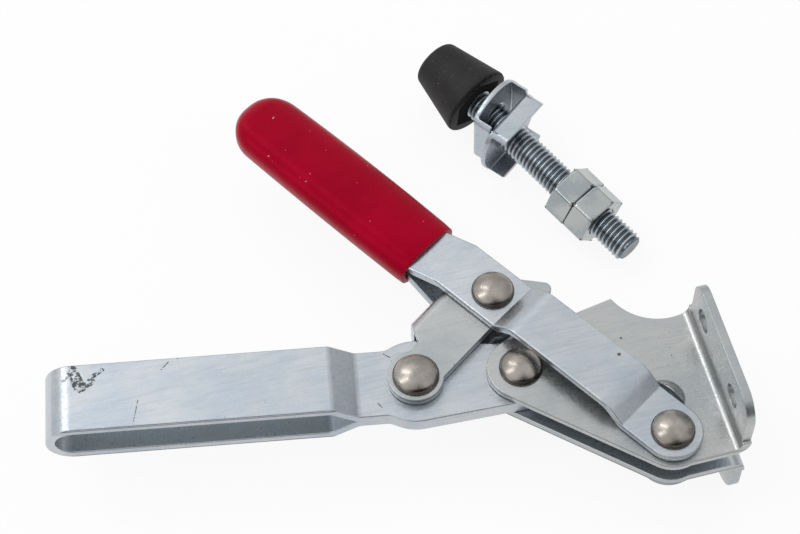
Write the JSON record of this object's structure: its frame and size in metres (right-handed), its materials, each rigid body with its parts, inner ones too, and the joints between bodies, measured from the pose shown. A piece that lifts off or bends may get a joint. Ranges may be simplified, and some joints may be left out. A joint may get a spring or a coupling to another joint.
{
  "type": "toggle clamp",
  "caption": "Vertical-handle toggle clamp with flanged feet, a slotted folded bar and a dipped red handle, fully open, with its rubber-tipped screw spindle lying beside it.",
  "frame": {"origin": "centre of the four bolt holes on the mounting face, half way between the two base flanges", "axes": "+X away from the mounting face, +Y the side the bar closes towards, +Z along the pivots; the clamp lies on its side with the floor at the edge of the flanges"},
  "size_m": [0.1535, 0.1342, 0.04],
  "materials": {
    "zinc_sheet": "zinc plated, satin, lightly scratched",
    "rivet_steel": "bright stainless, domed",
    "screw_steel": "zinc plated",
    "red_grip": "dipped vinyl, soft gloss",
    "black_rubber": "matt"
  },
  "bodies": {
    "base": {"base_plate_left": "zinc_sheet", "base_plate_right": "zinc_sheet", "bar_pivot_rivet": "rivet_steel", "handle_pivot_rivet": "rivet_steel", "handle_pivot_sleeve": "rivet_steel", "spindle": "screw_steel", "rubber_cap": "black_rubber", "flanged_washer_lower": "zinc_sheet", "flanged_washer_upper": "zinc_sheet", "jam_nut_lower": "screw_steel", "jam_nut_upper": "screw_steel"},
    "handle": {"handle_strip_left": "zinc_sheet", "handle_strip_right": "zinc_sheet", "handle_grip": "red_grip", "link_handle_rivet": "rivet_steel"},
    "link": {"toggle_link": "zinc_sheet", "link_bar_rivet": "rivet_steel", "link_sleeve": "rivet_steel"},
    "bar": {"clamping_bar": "zinc_sheet"}
  },
  "joints": [
    {"name": "handle_swing", "type": "hinge", "parent": "base", "child": "handle", "pos_m": [0.0162, 0.0122, 0], "axis": [0, 0, 1], "range_deg": [0, 54.4]},
    {"name": "link_swing", "type": "hinge", "parent": "handle", "child": "link", "pos_m": [0.04524, -0.03321, 0], "axis": [0, 0, 1], "range_deg": [0, 88]},
    {"name": "bar_swing", "type": "hinge", "parent": "link", "child": "bar", "pos_m": [0.06804, -0.01747, 0], "axis": [0, 0, 1], "range_deg": [-38.12, 0]}
  ],
  "couplings": [
    {"joint": "link_swing", "follows": "handle_swing", "ratio": 1.6173},
    {"joint": "bar_swing", "follows": "handle_swing", "ratio": -0.70048}
  ]
}
